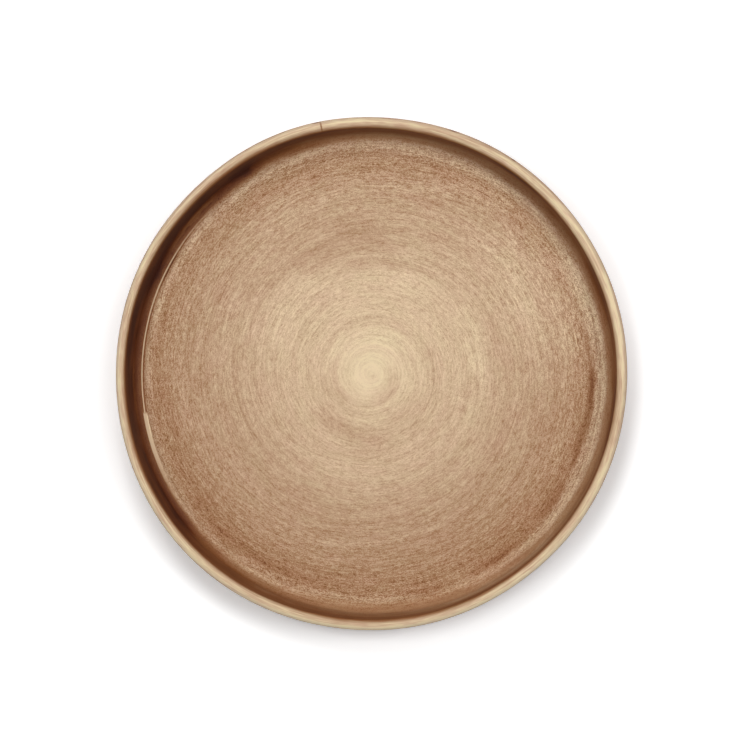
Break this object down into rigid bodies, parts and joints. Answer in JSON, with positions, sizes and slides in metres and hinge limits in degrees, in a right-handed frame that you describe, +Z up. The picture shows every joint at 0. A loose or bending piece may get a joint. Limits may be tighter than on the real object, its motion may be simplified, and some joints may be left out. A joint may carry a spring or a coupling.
{
  "type": "small plate",
  "caption": "Round small plate with a flat floor, a low upright wall with a rounded lip, and a turned foot ring under it.",
  "frame": {"origin": "centre of the foot ring, on the surface that the plate stands on", "axes": "+Z up along the plate's axis of turning, +X to the right and +Y to the top of the picture, which looks straight down"},
  "size_m": [0.2, 0.2, 0.022],
  "materials": {
    "glaze": "glossy brown glaze brushed in a spiral over a cream clay, thin and pale on the lip"
  },
  "bodies": {
    "root": {"plate": "glaze"}
  },
  "joints": []
}
